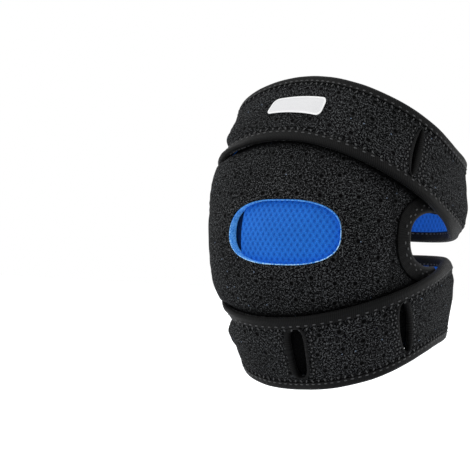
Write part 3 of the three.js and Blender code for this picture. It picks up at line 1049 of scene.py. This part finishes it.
padPiece = buildKneePad()
print("opening and pad made")


label = {
    "around": -2.6 * degree, "height": 0.0, "width": 40, "tall": 10.2, "lean": 1.8, "taper": 0.12,
    "wall": 0.6, "lift": 0.35, "corner": 3.2, "border": 0.9, "borderRise": 0.22,
}


def buildLabel():
    piece = flatGrid("label_patch_cloth", 96, 30)
    halfX, halfY = label["width"] / 2, label["tall"] / 2
    corner = label["corner"]
    border = vertexValues(piece, "border")
    for vertex in piece.data.vertices:
        # a square grid pressed into rounded corners
        x, y = vertex.co.x * halfX, vertex.co.y * halfY
        cornerX, cornerY = abs(x) - (halfX - corner), abs(y) - (halfY - corner)
        if cornerX > 0 and cornerY > 0:
            square = max(cornerX, cornerY)
            scale = square / math.hypot(cornerX, cornerY)
            x = math.copysign(halfX - corner + cornerX * scale, x)
            y = math.copysign(halfY - corner + cornerY * scale, y)
            edge = corner - square
        else:
            edge = min(halfX - abs(x), halfY - abs(y))
        near = 1 - smooth(edge, label["border"] - 0.2, label["border"] + 0.15)
        border[vertex.index].value = near
        raised = label["borderRise"] * near * smooth(edge, -0.1, 0.35)
        vertex.co = Vector((x, y, strapWall + label["lift"] + label["wall"] + raised))

    def place(x, y, out):
        slant = label["lean"] * y / label["tall"]
        y *= 1 + label["taper"] * 2 * x / label["width"]
        return strapFront(upper, label["around"] + (x + slant) / frontArm, label["height"] + y, out)

    wrap(piece, place)
    thicken(piece, label["wall"] + 0.2, 0.15)
    return finishPiece(piece, labelMaterial, "label_cloth", "label_patch")


buildLabel()
print("label made")


stitch = {
    "length": 2.0,
    "width": 0.85,
    "pitch": 3.7,
    "endCount": 9,                      # across a strap's end
    "slitCount": 12,                    # along a slit
    "sideCount": 22,                    # round a notch
}


def makeStitch():
    selectOnly()
    bpy.ops.mesh.primitive_uv_sphere_add(segments=8, ring_count=6, radius=0.5)
    one = bpy.context.object
    for vertex in one.data.vertices:
        vertex.co = Vector((vertex.co.x * stitch["length"], vertex.co.y * stitch["width"],
                            vertex.co.z * stitch["width"] * 0.8)) * mm
    one.name = "one_stitch"
    return one


# Sews a seam: each place has three points, the stitch's middle, one ahead of it and one outside it
def sew(name, places, lengthShare=1.0):
    one = makeStitch()
    copies = []
    for middle, ahead, outside in places:
        forward = (ahead - middle).normalized()
        outward = (outside - middle).normalized()
        sideways = outward.cross(forward).normalized()
        outward = forward.cross(sideways)
        copy = one.copy()
        copy.data = one.data.copy()
        turn = Matrix((forward * lengthShare, sideways, outward)).transposed().to_4x4()
        copy.data.transform(Matrix.Translation(middle) @ turn)
        bpy.context.collection.objects.link(copy)
        copies.append(copy)
    bpy.data.objects.remove(one)
    selectOnly(*copies)
    bpy.ops.object.join()
    seam = bpy.context.object
    seam.name = name
    return finishPiece(seam, threadMaterial, "woven_tape")


def strapStitch(strap, travel, height, out, turnTo=(1, 0)):
    middle = strapPlace(strap, travel, height, out)
    ahead = strapPlace(strap, travel + 0.01 * turnTo[0], height + turnTo[1], out)
    return middle, ahead, strapPlace(strap, travel, height, out + 1)


for strap in (upper, lower):
    half = strap["width"] / 2
    steps = int(travelEnd * strapArm / stitch["pitch"])
    line = half - cloth["tapeWidth"] + 0.9
    hookFrom = travelEnd - strapPath["hook"]
    places = []
    for edge in (-1, 1):
        for i in range(1, steps):
            travel = travelEnd * i / steps
            slant = 0.9 if i % 2 else -0.9
            places.append(strapStitch(strap, travel, edge * (line - 1.9), strapWall - 0.1, (slant, 1)))
            places.append(strapStitch(strap, travel, edge * line, strapWall + cloth["gap"] - 0.1))
            if travel < hookFrom:
                places.append(strapStitch(strap, travel, edge * line, -0.02))
    for row in (travelEnd - 3 / strapArm, travelEnd - 6 / strapArm, hookFrom + 1 / strapArm):
        for i in range(stitch["endCount"]):
            height = -line + 2 * line * (i + 0.5) / stitch["endCount"]
            places.append(strapStitch(strap, row, height, strapWall + 0.1, (0, 1)))
    sew(f"{strap['name']}_stitches", places)

# Close rows of small stitches beside each slit
for name, slit in slits.items():
    strap = slit["strap"]
    places = []
    for seam in slit["seams"]:
        for i in range(stitch["slitCount"]):
            y = slit["length"] * 0.94 * ((i + 0.5) / stitch["slitCount"] - 0.5)
            side = seam + (0.35 if i % 2 else -0.35)
            travel = slitTravel(slit, side, y)
            ahead = slitTravel(slit, side, y + 1)
            height = slit["height"] + y
            places.append((strapPlace(strap, travel, height, strapWall + 0.06),
                           strapPlace(strap, ahead, height + 1, strapWall + 0.06),
                           strapPlace(strap, travel, height, strapWall + 1)))
    sew(f"{name}_stitches", places, 0.62)

places = []
for side in ("right", "left"):
    mirror = -1 if side == "left" else 1
    for i in range(stitch["sideCount"]):
        turn = (-78 + 156 * (i + 0.5) / stitch["sideCount"]) * degree
        inset = 2.6 if i % 2 else 3.8
        around, along = notchPlace(side, turn, inset)
        nextAround, nextAlong = notchPlace(side, turn + 0.02, inset)
        places.append((legPoint(mirror * around, along, 0.1), legPoint(mirror * nextAround, nextAlong, 0.1),
                       legPoint(mirror * around, along, 1)))
sew("side_tape_stitches", places, 0.85)
print("seams sewn")
print("seams sewn")


for strap in (upper, lower):
    clothPiece, liningPiece, tapes, tab = strapPieces[strap["name"]]


studio = {
    "floorDrop": 0.150,
    "floorSize": 6.0,
    "white": 0.93,
    "front": (0.463, -0.886),           # towards the camera
    "frontAir": 0.74,
    # nearFloor: painted shade, the floor's tone on the camera's side, below the white behind
    "nearFloor": 0.78,
    "lamps": [                          # name, place, aim, size and power
        ("softbox_left", (-0.75, -0.55, 0.55), (0, 0, 0), (0.6, 0.9), 2.6),
        ("softbox_right", (0.62, 0.3, 0.95), (0, 0, 0.05), (0.5, 0.6), 1.0),
        ("softbox_top", (0.1, -0.45, 0.95), (0, 0, 0.02), (0.8, 0.6), 0.4),
    ],
}


# How far a place or a way leads away from the camera, taken into a range from low to high
def awayShare(tree, place, rise, settings, **limits):
    away = addNode(tree, "ShaderNodeVectorMath", {"operation": "DOT_PRODUCT"}, Vector=place)
    away.inputs[1].default_value = (-studio["front"][0], -studio["front"][1], rise)
    share = addNode(tree, "ShaderNodeMapRange", settings, Value=away.outputs["Value"], **limits)
    return share.outputs["Result"]


def buildFloor():
    selectOnly()
    bpy.ops.mesh.primitive_plane_add(size=studio["floorSize"], location=(0, 0, -studio["floorDrop"]))
    floor = bpy.context.object
    floor.name = "studio_floor"
    editAll(floor, bpy.ops.mesh.subdivide, number_cuts=1)
    material, tree = newMaterial("studio_white", Roughness=1.0, Specular_IOR_Level=0.0,
                                 Emission_Color=(1, 1, 1, 1))
    shader = shaderOf(material)
    # Painted shade on the floor: darker and without glow on the camera's side, pale and glowing behind the
    # object
    share = awayShare(tree, coordinates(tree, "Object"), 0, None, From_Min=-0.1, From_Max=0.25,
                      To_Max=0.55)
    tree.links.new(share, shader.inputs["Emission Strength"])
    tone = ramp(tree, share, (0.0, grey(studio["nearFloor"])), (0.5, grey(studio["white"])))
    tree.links.new(tone, shader.inputs["Base Color"])
    floor.data.materials.append(material)


def buildLight(name, location, target, size, power):
    selectOnly()
    bpy.ops.object.light_add(type="AREA", location=location)
    light = bpy.context.object
    light.name = name
    light.data.shape = "RECTANGLE"
    light.data.size, light.data.size_y = size
    light.data.energy = power
    aim = Vector(target) - Vector(location)
    light.rotation_euler = aim.to_track_quat("-Z", "Y").to_euler()


# White air: full behind the object, dimmer on the side the picture is taken from
def buildWorld():
    world = bpy.data.worlds.new("studio_air")
    world.use_nodes = True
    tree = world.node_tree
    share = awayShare(tree, coordinates(tree, "Generated"), 0.25, {"interpolation_type": "SMOOTHSTEP"},
                      From_Min=-0.5, From_Max=0.6, To_Min=studio["frontAir"], To_Max=1.0)
    background = tree.nodes["Background"]
    background.inputs["Color"].default_value = (1, 1, 1, 1)
    tree.links.new(share, background.inputs["Strength"])
    bpy.context.scene.world = world


buildFloor()
buildWorld()
for lamp in studio["lamps"]:
    buildLight(*lamp)

view = {
    "azimuth": 27.6 * degree,
    "elevation": -0.25 * degree,
    "roll": 1.8 * degree,
    "distance": 0.671,
    "pixelsPerRadian": 1277,
    "frame": 470,
    "originAt": (340.4, 242.3),     # where the middle of the knee falls in the picture
}


def buildCamera():
    azimuth, elevation, roll = view["azimuth"], view["elevation"], view["roll"]
    back = Vector((math.sin(azimuth) * math.cos(elevation), -math.cos(azimuth) * math.cos(elevation),
                   math.sin(elevation)))
    right = Vector((math.cos(azimuth), math.sin(azimuth), 0))
    up = back.cross(right)
    rolledRight = right * math.cos(roll) + up * math.sin(roll)
    rolledUp = up * math.cos(roll) - right * math.sin(roll)
    middle = view["frame"] / 2
    scale = view["distance"] / view["pixelsPerRadian"]
    sideways = rolledRight * (middle - view["originAt"][0])
    target = (sideways + rolledUp * (view["originAt"][1] - middle)) * scale
    location = back * view["distance"]
    forward = (target - location).normalized()
    side = forward.cross(rolledUp).normalized()
    top = side.cross(forward)
    turn = Matrix((side, top, -forward)).transposed()
    selectOnly()
    bpy.ops.object.camera_add(location=location, rotation=turn.to_euler())
    camera = bpy.context.object
    camera.data.lens = camera.data.sensor_width * view["pixelsPerRadian"] / view["frame"]
    camera.data.clip_start = 0.01
    bpy.context.scene.camera = camera


buildCamera()
bpy.context.scene.view_settings.view_transform = "Standard"
print("studio ready")
